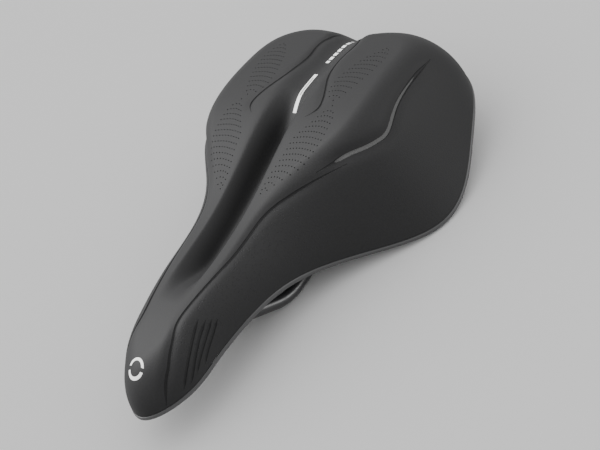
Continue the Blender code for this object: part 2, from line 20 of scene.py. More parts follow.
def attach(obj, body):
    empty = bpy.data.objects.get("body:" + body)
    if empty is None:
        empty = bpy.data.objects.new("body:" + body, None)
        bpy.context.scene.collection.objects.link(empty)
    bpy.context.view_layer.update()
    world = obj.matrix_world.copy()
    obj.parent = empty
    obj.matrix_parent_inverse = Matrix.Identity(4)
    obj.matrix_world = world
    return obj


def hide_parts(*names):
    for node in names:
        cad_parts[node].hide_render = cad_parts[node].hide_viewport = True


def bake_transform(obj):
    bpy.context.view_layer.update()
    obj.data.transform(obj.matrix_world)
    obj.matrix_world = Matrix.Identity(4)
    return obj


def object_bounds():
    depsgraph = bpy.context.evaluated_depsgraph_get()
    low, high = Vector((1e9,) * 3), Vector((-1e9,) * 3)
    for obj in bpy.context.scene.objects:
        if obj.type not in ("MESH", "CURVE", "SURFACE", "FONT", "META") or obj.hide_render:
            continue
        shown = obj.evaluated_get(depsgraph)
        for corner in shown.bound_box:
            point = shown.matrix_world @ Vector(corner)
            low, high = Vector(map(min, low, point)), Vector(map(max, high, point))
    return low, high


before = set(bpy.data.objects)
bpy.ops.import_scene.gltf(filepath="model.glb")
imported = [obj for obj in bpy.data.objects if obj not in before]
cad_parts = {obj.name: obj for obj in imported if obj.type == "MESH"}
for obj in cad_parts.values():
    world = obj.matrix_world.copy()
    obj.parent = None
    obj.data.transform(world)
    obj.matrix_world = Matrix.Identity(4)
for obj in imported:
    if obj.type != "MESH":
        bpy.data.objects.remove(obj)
START_LOW, START_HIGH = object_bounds()
print("frame box", [round(v, 4) for v in (*START_LOW, *START_HIGH)])


def linked(name, data):
    """A new object in the scene that holds this mesh or curve."""
    obj = bpy.data.objects.new(name, data)
    bpy.context.scene.collection.objects.link(obj)
    return obj


def shade(mesh, degrees):
    """Smooth faces, with a crease where two meet at more than this angle."""
    mesh.shade_smooth()
    mesh.set_sharp_from_angle(angle=math.radians(degrees))


# %% [markdown]
# ## Sizes
#
# These are the sizes that the CAD part was built from, in metres. The nose points to -Y, the rider's
# left is +X, and the origin lies between the rails where a seat post clamps them. Places along the
# saddle are given as a share of its length, from the tail.

# %% Sizes
LENGTH = 0.272
WIDTH = 0.1765
NOSE_WIDTH = 0.048
SADDLE_HEIGHT = 0.060
TAIL_Y = 0.128
TAIL_NOTCH = 0.001
PAD_RISE = 0.005
PAD_REACH = 0.016
PAD_FADE = (0.30, 0.62)
CHANNEL_DEPTH = 0.012
CHANNEL_HALF_WIDTH = 0.012
CHANNEL_REAR = (0.24, 0.36)
CHANNEL_FRONT = (0.64, 0.80)
CHANNEL_FLOOR = 0.25
GAP = 0.0004
SKIN_WALL = 0.0014
FOAM_DEPTH_REAR = 0.014
FOAM_DEPTH_NOSE = 0.009
FOAM_FLANK = 0.0035
BASE_WALL = 0.0026
TRIM_HEIGHT = 0.0026
REAR_OUTLINE = (
    (0.00, 0.000, 0.160),
    (0.415, -0.009, 0.160),
    (0.765, 0.038, 0.180),
    (0.92, 0.140, 0.220),
    (1.00, 0.260, 0.270),
    (0.94, 0.364, 0.345),
    (0.665, 0.465, 0.440),
)
NOSE_OUTLINE = (
    (1.57, 0.578, 0.555),
    (1.24, 0.712, 0.680),
    (1.06, 0.838, 0.790),
    (0.90, 0.925, 0.870),
    (0.00, 1.000, 0.900),
)
CROWN = (
    (0.0, 0.007), (0.16, -0.001), (0.33, -0.002), (0.50, 0.005),
    (0.66, 0.009), (0.83, 0.011), (1.0, 0.022),
)
LOWER_EDGE = (
    (0.0, 0.036), (0.16, 0.050), (0.33, 0.065), (0.50, 0.056),
    (0.66, 0.0425), (0.83, 0.041), (1.0, 0.044),
)
SHOULDER_ACROSS = ((0.0, 0.023), (0.2, 0.035), (0.4, 0.036), (0.62, 0.018), (1.0, 0.0205))
FLARE = ((0.0, -0.10), (0.2, 0.25), (0.4, 0.30), (0.62, -0.03), (1.0, 0.02))
SHOULDER_LEAD = ((0.0, 0.57), (0.2, 0.43), (0.4, 0.39), (0.62, 0.59), (1.0, 0.57))
SKIRT_HOLD = 0.45
SHOULDER_LIMIT = 0.85
NOSE_CHANGE = (0.35, 0.62)

# %% [markdown]
# ## The form of the seat
#
# The seat is a fan of sections. Each starts at a heart point on the centre line and runs straight out to
# a point of the outline. From the heart to the shoulder it follows the upper surface; from there a
# Bezier curve rolls it over the shoulder and down the skirt to the lower edge. The same sections make
# the skin, the foam and the base, drawn in by each layer's depth, so the layers can never cross.
#
# A lattice of numbers is easier to keep exact than sculpting, and every later step (grooves, dots,
# swelling) can ask it for a point by two coordinates: how far round the outline, and how far out.


# %% The form of the seat
def through(knots, at):
    """A natural cubic spline through (place, value...) knots, read at an array of places."""
    knots = np.asarray(knots, float)
    x, y = knots[:, 0], knots[:, 1:]
    n = len(x)
    step = np.diff(x)
    matrix = np.eye(n)
    right = np.zeros_like(y)
    for i in range(1, n - 1):
        matrix[i, i - 1 : i + 2] = step[i - 1], 2 * (step[i - 1] + step[i]), step[i]
        right[i] = 6 * ((y[i + 1] - y[i]) / step[i] - (y[i] - y[i - 1]) / step[i - 1])
    bend = np.linalg.solve(matrix, right)
    at = np.clip(np.atleast_1d(at), x[0], x[-1])
    i = np.clip(np.searchsorted(x, at, side="right") - 1, 0, n - 2)
    before = (x[i + 1] - at)[:, None]
    after = (at - x[i])[:, None]
    h = step[i][:, None]
    value = (bend[i] * before**3 + bend[i + 1] * after**3) / (6 * h)
    value += (y[i] / h - bend[i] * h / 6) * before + (y[i + 1] / h - bend[i + 1] * h / 6) * after
    return value[:, 0] if value.shape[1] == 1 else value


def ease(low, high, x):
    t = np.clip((np.asarray(x, float) - low) / (high - low), 0, 1)
    return t * t * (3 - 2 * t)


def outline_knots():
    rear = [(x * WIDTH / 2, s * LENGTH + TAIL_NOTCH, c * LENGTH) for x, s, c in REAR_OUTLINE]
    nose = [(x * NOSE_WIDTH / 2, s * LENGTH, c * LENGTH) for x, s, c in NOSE_OUTLINE]
    half = rear + nose
    every = [(-x, s, c) for x, s, c in half[3:0:-1]] + half + [(-x, s, c) for x, s, c in half[-2:-5:-1]]
    places = [0.0]
    for a, b in zip(every, every[1:]):
        places.append(places[-1] + math.sqrt(math.dist(a[:2], b[:2])))
    return [(p, *q) for p, q in zip(places, every)], places[3], places[2 + len(half)]


KNOTS, FIRST_PLACE, LAST_PLACE = outline_knots()


def seat_top(x, s):
    """Height of the upper surface before the shoulders roll over."""
    share = s / LENGTH
    pads = PAD_RISE * (1 - ease(*PAD_FADE, share)) * ease(0.0, PAD_REACH, np.abs(x))
    along = ease(*CHANNEL_REAR, share) * (1 - ease(*CHANNEL_FRONT, share))
    across = 1 - ease(CHANNEL_FLOOR, 1.0, np.abs(x) / CHANNEL_HALF_WIDTH)
    crown = through(CROWN, share.ravel()).reshape(share.shape)
    return SADDLE_HEIGHT - crown + pads - CHANNEL_DEPTH * along * across


def seat_lattice(rounds, inner, outer, inset=0.0, drop_rear=0.0, drop_nose=0.0, lift=0.0):
    """Points [round, out, xyz] of the rider's left half, from the hearts over the shoulder to the edge."""
    places = FIRST_PLACE + np.linspace(0, 1, rounds + 1) * (LAST_PLACE - FIRST_PLACE)
    x, s, start = through(KNOTS, places).T
    start = np.clip(start, REAR_OUTLINE[0][2] * LENGTH, NOSE_OUTLINE[-1][2] * LENGTH)
    edge = np.stack([np.maximum(x, 0), s], 1)
    heart = np.stack([np.zeros_like(start), start], 1)
    reach = np.linalg.norm(edge - heart, axis=1)
    ray = (edge - heart) / reach[:, None]
    along = edge[:, 1] / LENGTH
    across = np.minimum(through(SHOULDER_ACROSS, along), SHOULDER_LIMIT * reach)
    flare = through(FLARE, along)
    lead = through(SHOULDER_LEAD, along)
    rim = SADDLE_HEIGHT - through(LOWER_EDGE, along) + lift
    drop = drop_rear + (drop_nose - drop_rear) * ease(*NOSE_CHANGE, along)
    shoulder = edge - ray * across[:, None]
    rows = []
    for r in np.linspace(0, 1, inner + 1)[:-1]:
        p = heart + (shoulder - heart) * r
        rows.append(np.stack([p[:, 0], p[:, 1], seat_top(p[:, 0], p[:, 1]) - drop], 1))
    fall = seat_top(edge[:, 0], edge[:, 1]) - drop - rim
    for t in np.linspace(0, 1, outer + 1):
        out = 3 * t * (1 - t) ** 2 * lead + 3 * t * t * (1 - t) * (1 - flare) + t**3
        down = 3 * t * t * (1 - t) * (1 - SKIRT_HOLD) + t**3
        p = shoulder + ray * (across * out)[:, None]
        z = seat_top(p[:, 0], p[:, 1]) - drop - fall * down
        p = p - ray * (inset * ease(0, 1, out))[:, None]
        rows.append(np.stack([p[:, 0], p[:, 1], z], 1))
    lattice = np.array(rows).transpose(1, 0, 2)
    lattice[..., 1] = TAIL_Y - lattice[..., 1]
    lattice[..., 0] = np.maximum(lattice[..., 0], 0)
    lattice[0, :, 0] = 0
    lattice[-1, :, 0] = 0
    lattice[:, 0, 0] = 0
    return lattice


print("lattice", seat_lattice(40, 6, 8).shape)

# %% [markdown]
# ## From lattice to closed skin
#
# Two lattices of the same number of rounds, one outside and one inside, are joined round the lower edge
# and mirrored. The heart rows of both halves lie on the centre line and are welded, so the skin is one
# closed body. A mask goes with it, for the part of the flank that has a moulded texture.


# %% Lattice helpers
ROUNDS = 240
INNER = 32
OUTER = 48


def closed_layer(name, outside, inside, masks=None):
    """A closed mesh between two lattices, mirrored about the middle."""
    bm = bmesh.new()
    mask_layers = {k: bm.verts.layers.float.new(k) for k in (masks or {})}
    for way in (1, -1):
        grids = []
        for lattice, turned in ((outside, way < 0), (inside, way > 0)):
            verts = [[bm.verts.new((way * p[0], p[1], p[2])) for p in row] for row in lattice]
            grids.append(verts)
            for k, layer in mask_layers.items():
                if lattice is outside:
                    for row, values in zip(verts, masks[k]):
                        for v, value in zip(row, values):
                            v[layer] = value
            for i in range(len(verts) - 1):
                for j in range(len(verts[0]) - 1):
                    corners = [(i, j), (i, j + 1), (i + 1, j + 1), (i + 1, j)]
                    if turned:
                        corners.reverse()
                    bm.faces.new([verts[a][b] for a, b in corners])
        outer_edge = [row[-1] for row in grids[0]]
        inner_edge = [row[-1] for row in grids[1]]
        for a, b, c, d in zip(outer_edge, outer_edge[1:], inner_edge[1:], inner_edge):
            bm.faces.new((a, d, c, b) if way > 0 else (a, b, c, d))
    bmesh.ops.remove_doubles(bm, verts=bm.verts, dist=2e-6)
    bmesh.ops.recalc_face_normals(bm, faces=bm.faces)
    mesh = bpy.data.meshes.new(name)
    bm.to_mesh(mesh)
    bm.free()
    shade(mesh, 50)
    return linked(name, mesh)


def triangles(obj):
    return sum(len(p.vertices) - 2 for p in obj.data.polygons)


def open_edges(obj):
    bm = bmesh.new()
    bm.from_mesh(obj.data)
    count = sum(1 for e in bm.edges if len(e.link_faces) != 2)
    bm.free()
    return count


class Seat:
    """One lattice, read by (share round, out), where out is 0 to 1 on the top and 1 to 2 down the skirt."""

    def __init__(self, lattice, inner):
        self.lattice = lattice
        self.inner = inner
        self.outer = lattice.shape[1] - 1 - inner
        around = np.gradient(lattice, axis=0)
        across = np.gradient(lattice, axis=1)
        normal = np.cross(around, across)
        normal /= np.linalg.norm(normal, axis=2, keepdims=True) + 1e-12
        middle = normal[len(normal) // 2, inner]
        self.normals = normal if middle[2] > 0 else -normal

    def read(self, grid, share, out):
        i = np.clip(np.asarray(share, float), 0, 1) * (grid.shape[0] - 1)
        out = np.clip(np.asarray(out, float), 0, 2)
        j = np.where(out < 1, out * self.inner, self.inner + (out - 1) * self.outer)
        i0 = np.minimum(i.astype(int), grid.shape[0] - 2)
        j0 = np.minimum(j.astype(int), grid.shape[1] - 2)
        u = (i - i0)[..., None]
        v = (j - j0)[..., None]
        first = grid[i0, j0] * (1 - v) + grid[i0, j0 + 1] * v
        second = grid[i0 + 1, j0] * (1 - v) + grid[i0 + 1, j0 + 1] * v
        return first * (1 - u) + second * u

    def at(self, share, out):
        return self.read(self.lattice, share, out)

    def normal_at(self, share, out):
        normal = self.read(self.normals, share, out)
        return normal / np.linalg.norm(normal, axis=-1, keepdims=True)


def along_curve(knots, count):
    """A smooth run of points through (share, out) knots, evenly spaced in the lattice's own measure."""
    knots = np.asarray(knots, float)
    steps = np.linalg.norm(np.diff(knots * (2.0, 1.0), axis=0), axis=1)
    places = np.concatenate([[0.0], np.cumsum(np.sqrt(steps))])
    return through(np.column_stack([places, knots]), np.linspace(0, places[-1], count))


LIFT = TRIM_HEIGHT + GAP
outside = seat_lattice(ROUNDS, INNER, OUTER, lift=LIFT)
inside = seat_lattice(ROUNDS, INNER, OUTER, SKIN_WALL, SKIN_WALL, SKIN_WALL, lift=LIFT)
seat = Seat(outside, INNER)
print("widest point", np.round(outside[..., 0].max(), 4), "highest", np.round(outside[..., 2].max(), 4))

# %% [markdown]
# ## Soft valleys beside the grooves
#
# A skin pressed into foam does not only have sharp lines: it sinks softly towards each line and bulges
# between them. The lattice is therefore lowered along each groove by a shallow bell, before the sharp
# grooves are cut. The grooves are given once, as a few knots in the lattice's two coordinates, and the
# same knots drive the valleys and the cuts.
#
# - The wing groove runs from the tail round the pad to the waist.
# - The long groove runs from the wing along the shoulder, then down the flank to the nose.
# - Two creases frame a flat panel between the pads.
# - Four short grooves fan out on each flank of the nose.

# %% Grooves and their valleys
WING_GROOVE = (
    (0.225, 1.40), (0.255, 1.37), (0.292, 1.35), (0.339, 1.35), (0.372, 1.38), (0.392, 1.405),
    (0.407, 1.41), (0.419, 1.40), (0.444, 1.367), (0.472, 1.32), (0.491, 1.30), (0.531, 1.265),
)
LONG_GROOVE = (
    (0.4875, 1.367), (0.521, 1.335), (0.564, 1.295), (0.604, 1.235), (0.643, 1.185), (0.688, 1.18),
    (0.720, 1.16), (0.746, 1.12), (0.783, 1.085), (0.823, 1.067), (0.848, 1.07), (0.865, 1.12),
    (0.878, 1.20), (0.9015, 1.333), (0.9165, 1.46), (0.930, 1.58), (0.9416, 1.77), (0.949, 1.95),
)
CREASE = (
    (0.035, 1.30), (0.060, 0.95), (0.120, 0.45), (0.190, 0.27), (0.310, 0.35),
    (0.398, 0.505), (0.414, 0.500), (0.434, 0.425),
)
NOSE_GROOVES = (
    ((0.8214, 1.383), (0.8564, 1.517), (0.8915, 1.683), (0.9165, 1.90)),
    ((0.8114, 1.483), (0.8464, 1.600), (0.8781, 1.750), (0.9032, 1.92)),
    ((0.8030, 1.550), (0.8331, 1.667), (0.8614, 1.767), (0.8848, 1.88)),
    ((0.7963, 1.617), (0.8180, 1.717), (0.8397, 1.800), (0.8614, 1.90)),
)
# Each groove: its knots, the radius of the cut, its depth, and the depth and half width of its valley.
GROOVES = [
    (WING_GROOVE, 0.00135, 0.00095, 0.0016, 0.0060),
    (LONG_GROOVE, 0.00095, 0.00080, 0.0008, 0.0045),
    (CREASE, 0.00080, 0.00065, 0.0006, 0.0040),
]
GROOVES += [(knots, 0.00085, 0.00070, 0.0003, 0.0020) for knots in NOSE_GROOVES]


def sink(lattice, knots, depth, half_width):
    """Lower a lattice along one groove; both halves share it, because the saddle is symmetric."""
    places = along_curve(knots, 160)
    line = seat.at(places[:, 0], places[:, 1])
    taper = np.minimum(np.arange(160), np.arange(160)[::-1]) / 24.0
    taper = ease(0, 1, taper)
    flat = lattice.reshape(-1, 3)
    result = np.zeros(len(flat))
    for first in range(0, len(flat), 4000):
        block = flat[first : first + 4000]
        away = np.linalg.norm(block[:, None, :] - line[None], axis=2)
        near = away.argmin(axis=1)
        bell = np.exp(-((away[np.arange(len(block)), near] / half_width) ** 2) * 2)
        result[first : first + 4000] = bell * taper[near]
    return (result * depth).reshape(lattice.shape[:2])


valley = np.zeros(outside.shape[:2])
for knots, _, _, depth, half_width in GROOVES:
    valley = np.maximum(valley, sink(outside, knots, depth, half_width))
hold = 1 - ease(1.8, 2.0, np.concatenate([np.arange(INNER) / INNER, 1 + np.arange(OUTER + 1) / OUTER]))
valley *= hold[None]
shift = seat.normals * valley[..., None]
shift[:, 0, 0] = 0
shift[[0, -1], :, 0] = 0
outside = outside - shift
inside = inside - shift
seat = Seat(outside, INNER)
print("deepest valley", round(float(valley.max() * 1000), 2), "mm")

# %% [markdown]
# ## The moulded cover
#
# The cover is one closed skin between two lattices of the same density, so its wall keeps an even
# thickness. The flank of the nose carries a mask for its moulded texture: between the long groove and the
# four short ones, and along the waist.

# %% The moulded cover
shares = np.linspace(0, 1, ROUNDS + 1)[:, None]
outs = np.concatenate([np.arange(INNER) / INNER, 1 + np.arange(OUTER + 1) / OUTER])[None, :]
texture = ease(0.55, 0.62, shares) * (1 - ease(0.86, 0.93, shares))
texture = texture * ease(1.16, 1.26, outs) * (1 - ease(1.72, 1.88, outs))
cover = closed_layer("moulded_cover", outside, inside, {"moulded_texture": texture})
print("cover", triangles(cover), "triangles", open_edges(cover), "open edges")

# %% [markdown]
# ## Cutting grooves and dots with Geometry Nodes
#
# One node tree does both jobs, so a change of radius or depth is one number:
#
# - a guide object holds one polyline for each groove, with the cut's radius on its points; the tree turns
#   it into round tubes with Curve to Mesh,
# - a places object holds one point for each perforation, with the surface's outward direction; the tree
#   stands a small eight-sided pin on each point, lined up with that direction,
# - a Mesh Boolean takes both away from the cover.
#
# A Boolean modifier for every groove would do the same, but would need a cutter object for each.


# %% Guides for the grooves
def groove_guides(name, grooves, count=110):
    curve = bpy.data.curves.new(name, "CURVE")
    curve.dimensions = "3D"
    for knots, radius, depth, _, _ in grooves:
        places = along_curve(knots, count)
        centre = seat.at(places[:, 0], places[:, 1])
        outward = seat.normal_at(places[:, 0], places[:, 1])
        ends = np.minimum(np.arange(count), np.arange(count)[::-1]) / 14.0
        size = radius * (0.25 + 0.75 * ease(0, 1, ends))
        for way in (1, -1):
            spline = curve.splines.new("POLY")
            spline.points.add(count - 1)
            line = centre + outward * (size - depth * size / radius)[:, None]
            for point, p, r in zip(spline.points, line, size):
                point.co = (way * p[0], p[1], p[2], 1.0)
                point.radius = r
    return linked(name, curve)


guides = groove_guides("groove_guides", GROOVES)
print("grooves", len(guides.data.splines))

# %% [markdown]
# ## Places for the perforations
#
# The dots fill two leaf-shaped fields on each pad. A field is given by its rows: how far along the saddle
# each row lies, and where it starts and ends across it. The dots of one row are evenly spaced. Each place
# is then laid on the seat by finding the nearest lattice point.

# %% Places for the perforations
DOT_PITCH = 0.0021
ROW_PITCH = 0.0038
ROW_BOW = 0.0012
# Y of the row, then X of its inner and outer ends.
UPPER_FIELD = (
    (0.050, 0.0320, 0.0330), (0.056, 0.0262, 0.0362), (0.063, 0.0240, 0.0392),
    (0.072, 0.0250, 0.0422), (0.081, 0.0278, 0.0437), (0.089, 0.0312, 0.0443),
    (0.097, 0.0372, 0.0412),
)
LOWER_FIELD = (
    (-0.013, 0.0150, 0.0156), (-0.004, 0.0152, 0.0235), (0.006, 0.0172, 0.0332),
    (0.015, 0.0192, 0.0378), (0.024, 0.0205, 0.0400), (0.034, 0.0268, 0.0402),
    (0.041, 0.0305, 0.0388), (0.046, 0.0340, 0.0350),
)


def field_places(rows):
    low, high = rows[0][0], rows[-1][0]
    found = []
    count = int(round((high - low) / ROW_PITCH))
    for i in range(count + 1):
        y = low + (high - low) * i / count
        first, last = through(rows, y)[0]
        number = max(int(round((last - first) / DOT_PITCH)), 0)
        for k in range(number + 1):
            share = k / number if number else 0.5
            bow = ROW_BOW * math.sin(math.pi * share)
            found.append((first + (last - first) * share, y + bow))
    return found


def lay_on_seat(places):
    """The point and the outward direction of the seat above each (x, y) place."""
    top = outside[:, : INNER + OUTER // 2]
    flat = top.reshape(-1, 3)
    normals = seat.normals[:, : INNER + OUTER // 2].reshape(-1, 3)
    points, outward = [], []
    for x, y in places:
        away = (flat[:, 0] - x) ** 2 + (flat[:, 1] - y) ** 2
        near = np.argsort(away)[:6]
        k = near[0]
        n = normals[near].mean(axis=0)
        n /= np.linalg.norm(n)
        z = flat[k, 2] - ((x - flat[k, 0]) * n[0] + (y - flat[k, 1]) * n[1]) / max(n[2], 0.2)
        points.append((x, y, z))
        outward.append(n)
    return np.array(points), np.array(outward)


points, outward = lay_on_seat(field_places(UPPER_FIELD) + field_places(LOWER_FIELD))
dot_mesh = bpy.data.meshes.new("dot_places")
both = np.concatenate([points, points * (-1, 1, 1)])
dot_mesh.from_pydata(both.tolist(), [], [])
direction = dot_mesh.attributes.new("outward", "FLOAT_VECTOR", "POINT")
both_outward = np.concatenate([outward, outward * (-1, 1, 1)])
direction.data.foreach_set("vector", both_outward.astype(np.float32).ravel())
dot_places = linked("dot_places", dot_mesh)
print("perforations", len(both))


# %% The cutting tree
class Tree:
    """A geometry node tree: add nodes with their inputs in one call."""

    def __init__(self, name):
        self.tree = bpy.data.node_groups.new(name, "GeometryNodeTree")
        self.tree.interface.new_socket("Geometry", in_out="INPUT", socket_type="NodeSocketGeometry")
        self.tree.interface.new_socket("Geometry", in_out="OUTPUT", socket_type="NodeSocketGeometry")
        self.entry = self.tree.nodes.new("NodeGroupInput")
        self.exit = self.tree.nodes.new("NodeGroupOutput")

    def value(self, name, kind, default=None):
        socket = self.tree.interface.new_socket(name, in_out="INPUT", socket_type="NodeSocket" + kind)
        if default is not None:
            socket.default_value = default
        return self.entry.outputs[name]

    def add(self, kind, out=0, inputs=None, **settings):
        node = self.tree.nodes.new(kind)
        for key, value in settings.items():
            setattr(node, key, value)
        for key, value in (inputs or {}).items():
            for one in value if isinstance(value, list) else [value]:
                if isinstance(one, bpy.types.NodeSocket):
                    self.tree.links.new(one, node.inputs[key])
                else:
                    node.inputs[key].default_value = one
        return node.outputs[out]

    def geometry(self):
        return self.entry.outputs["Geometry"]

    def finish(self, socket):
        self.tree.links.new(socket, self.exit.inputs["Geometry"])
        return self.tree


def apply_tree(obj, tree, values=None):
    """Run a tree on an object and keep the result as a plain mesh."""
    modifier = obj.modifiers.new("tree", "NODES")
    modifier.node_group = tree
    for item in tree.interface.items_tree:
        if item.in_out == "INPUT" and item.name in (values or {}):
            modifier[item.identifier] = values[item.name]
    graph = bpy.context.evaluated_depsgraph_get()
    graph.update()
    mesh = bpy.data.meshes.new_from_object(obj.evaluated_get(graph))
    obj.modifiers.clear()
    before = obj.data
    obj.data = mesh
    if isinstance(before, bpy.types.Mesh):
        bpy.data.meshes.remove(before)
    mesh.name = obj.name


def cutting_tree():
    t = Tree("pressed_grooves_and_dots")
    guide = t.value("Groove guides", "Object")
    places = t.value("Dot places", "Object")
    dot_radius = t.value("Dot radius", "Float", 0.00040)
    dot_depth = t.value("Dot depth", "Float", 0.0009)
    sides = t.value("Groove sides", "Int", 14)
    lines = t.add("GeometryNodeObjectInfo", 4, {"Object": guide})
    ring = t.add("GeometryNodeCurvePrimitiveCircle", 0, {"Resolution": sides, "Radius": 1.0})
    size = t.add("GeometryNodeInputRadius")
    tube_in = {"Curve": lines, "Profile Curve": ring, "Scale": size, "Fill Caps": True}
    tubes = t.add("GeometryNodeCurveToMesh", 0, tube_in)
    dots = t.add("GeometryNodeObjectInfo", 4, {"Object": places})
    way = t.add("GeometryNodeInputNamedAttribute", 0, {"Name": "outward"}, data_type="FLOAT_VECTOR")
    turn = t.add("FunctionNodeAlignRotationToVector", 0, {"Vector": way}, axis="Z")
    deep = t.add("ShaderNodeMath", 0, {0: dot_depth, 1: 2.0}, operation="MULTIPLY")
    pin_in = {"Vertices": 8, "Radius": dot_radius, "Depth": deep}
    pin = t.add("GeometryNodeMeshCylinder", 0, pin_in, fill_type="NGON")
    stood = t.add("GeometryNodeInstanceOnPoints", 0, {"Points": dots, "Instance": pin, "Rotation": turn})
    pins = t.add("GeometryNodeRealizeInstances", 0, {"Geometry": stood})
    cut_in = {"Mesh 1": t.geometry(), "Mesh 2": [tubes, pins]}
    cut = t.add("GeometryNodeMeshBoolean", 0, cut_in, operation="DIFFERENCE", solver="MANIFOLD")
    return t.finish(cut)


before_cut = triangles(cover)
apply_tree(cover, cutting_tree(), {"Groove guides": guides, "Dot places": dot_places})
for helper in (guides, dot_places):
    bpy.data.objects.remove(helper, do_unlink=True)
shade(cover.data, 38)
print("cover", before_cut, "->", triangles(cover), "triangles,", open_edges(cover), "open edges")

# %% [markdown]
# ## Foam and edge strip
#
# The foam fills the space between the cover and the base, and follows the same valleys. The strip is a
# band round the whole lower edge. Its section is a rounded rectangle, swept round the outline by hand,
# because its inner side has to follow the rays of the lattice and not the outline's own normals.

# %% Foam and edge strip
FOAM_ROUNDS, FOAM_INNER, FOAM_OUTER = 120, 16, 24
foam_out = SKIN_WALL + GAP
foam_in = SKIN_WALL + FOAM_FLANK + GAP
foam_top = seat_lattice(FOAM_ROUNDS, FOAM_INNER, FOAM_OUTER, foam_out, foam_out, foam_out, LIFT)
foam_drop_rear = SKIN_WALL + FOAM_DEPTH_REAR + GAP
foam_drop_nose = SKIN_WALL + FOAM_DEPTH_NOSE + GAP
foam_low = seat_lattice(FOAM_ROUNDS, FOAM_INNER, FOAM_OUTER, foam_in, foam_drop_rear, foam_drop_nose, LIFT)
sunk = np.zeros(foam_top.shape[:2])
for knots, _, _, depth, half_width in GROOVES:
    sunk = np.maximum(sunk, sink(foam_top, knots, depth, half_width * 1.3))
foam_top[..., 2] -= sunk * 1.1
foam_pad = closed_layer("foam_pad", foam_top, foam_low)
print("foam", triangles(foam_pad), "triangles,", open_edges(foam_pad), "open edges")

STRIP_DEPTH = SKIN_WALL + FOAM_FLANK + 2 * GAP + BASE_WALL
STRIP_ROUND = 0.0008
STRIP_PROUD = 0.0005


def rounded_box(low_x, low_z, high_x, high_z, radius, steps=4):
    corners = ((high_x, low_z, -90), (high_x, high_z, 0), (low_x, high_z, 90), (low_x, low_z, 180))
    points = []
    for x, z, start in corners:
        cx = x - radius if x == high_x else x + radius
        cz = z - radius if z == high_z else z + radius
        for i in range(steps + 1):
            turn = math.radians(start + 90 * i / steps)
            points.append((cx + radius * math.cos(turn), cz + radius * math.sin(turn)))
    return points


def edge_band(name, rounds=240):
    edge = seat_lattice(rounds, 2, 4)
    inner = seat_lattice(rounds, 2, 4, inset=1.0)
    ray = edge[:, -1, :2] - inner[:, -1, :2]
    ray /= np.linalg.norm(ray, axis=1, keepdims=True)
    ray[0] = (0, 1)
    ray[-1] = (0, -1)
    section = rounded_box(-STRIP_DEPTH, 0.0, STRIP_PROUD, TRIM_HEIGHT, STRIP_ROUND)
    bm = bmesh.new()
    stations = [(1, i) for i in range(rounds + 1)] + [(-1, i) for i in range(rounds - 1, 0, -1)]
    rings = []
    for way, i in stations:
        x, y, z = edge[i, -1]
        ring = []
        for out, up in section:
            ring.append(bm.verts.new((way * (x + ray[i, 0] * out), y + ray[i, 1] * out, z + up)))
        rings.append(ring)
    for a, b in zip(rings, rings[1:] + rings[:1]):
        for k in range(len(section)):
            bm.faces.new((a[k], b[k], b[(k + 1) % len(section)], a[(k + 1) % len(section)]))
    bmesh.ops.recalc_face_normals(bm, faces=bm.faces)
    mesh = bpy.data.meshes.new(name)
    bm.to_mesh(mesh)
    bm.free()
    mesh.shade_smooth()
    return linked(name, mesh)


edge_strip = edge_band("edge_strip")
print("strip", triangles(edge_strip), "triangles,", open_edges(edge_strip), "open edges")

# %% [markdown]
# ## The rail
#
# The rail is one steel wire. Its route is a list of corners, each turned into a smooth bend, and a small
# node tree sweeps a circle along it and closes the wire's ends with flat caps.

# %% The rail
RAIL_RADIUS = 0.0035
RAIL_HALF = (
    ((0.030, 0.092, 0.008), 0.0),
    ((0.030, 0.068, 0.008), 0.030),
    ((0.022, 0.038, 0.000), 0.030),
    ((0.022, -0.038, 0.000), 0.034),
    ((0.012, -0.074, 0.018), 0.024),
    ((0.011, -0.100, 0.018), 0.006),
)
BEND_SHARE = 0.45


def rail_line():
    half = [(Vector(p), r) for p, r in RAIL_HALF]
    corners = half + [(Vector((-p.x, p.y, p.z)), r) for p, r in reversed(half)]
    line = [corners[0][0]]
    for (a, _), (b, radius), (c, _) in zip(corners, corners[1:], corners[2:]):
        into = (a - b).normalized()
        away = (c - b).normalized()
        opening = into.angle(away)
        back = min(radius / math.tan(opening / 2), BEND_SHARE * min((a - b).length, (c - b).length))
        start = b + into * back
        end = b + away * back
        turns = max(8, round(math.degrees(math.pi - opening) / 4))
        for i in range(turns + 1):
            t = i / turns
            line.append(start * (1 - t) ** 2 + b * 2 * t * (1 - t) + end * t**2)
    line.append(corners[-1][0])
    return line


def swept_tree():
    t = Tree("swept_wire")
    radius = t.value("Radius", "Float", RAIL_RADIUS)
    sides = t.value("Sides", "Int", 32)
    ring = t.add("GeometryNodeCurvePrimitiveCircle", 0, {"Resolution": sides, "Radius": radius})
    sweep = {"Curve": t.geometry(), "Profile Curve": ring, "Fill Caps": True}
    tube = t.add("GeometryNodeCurveToMesh", 0, sweep)
    closed = t.add("GeometryNodeMergeByDistance", 0, {"Geometry": tube, "Distance": 1e-6})
    return t.finish(closed)


def wire(name, line, tree):
    curve = bpy.data.curves.new(name, "CURVE")
    curve.dimensions = "3D"
    spline = curve.splines.new("POLY")
    spline.points.add(len(line) - 1)
    for point, p in zip(spline.points, line):
        point.co = (*p, 1.0)
        point.radius = 1.0
    guide = linked(name + "_guide", curve)
    modifier = guide.modifiers.new("tree", "NODES")
    modifier.node_group = tree
    graph = bpy.context.evaluated_depsgraph_get()
    mesh = bpy.data.meshes.new_from_object(guide.evaluated_get(graph))
    bpy.data.objects.remove(guide, do_unlink=True)
    obj = linked(name, mesh)
    shade(mesh, 40)
    return obj


rail = wire("rail", rail_line(), swept_tree())
print("rail", triangles(rail), "triangles,", open_edges(rail), "open edges")

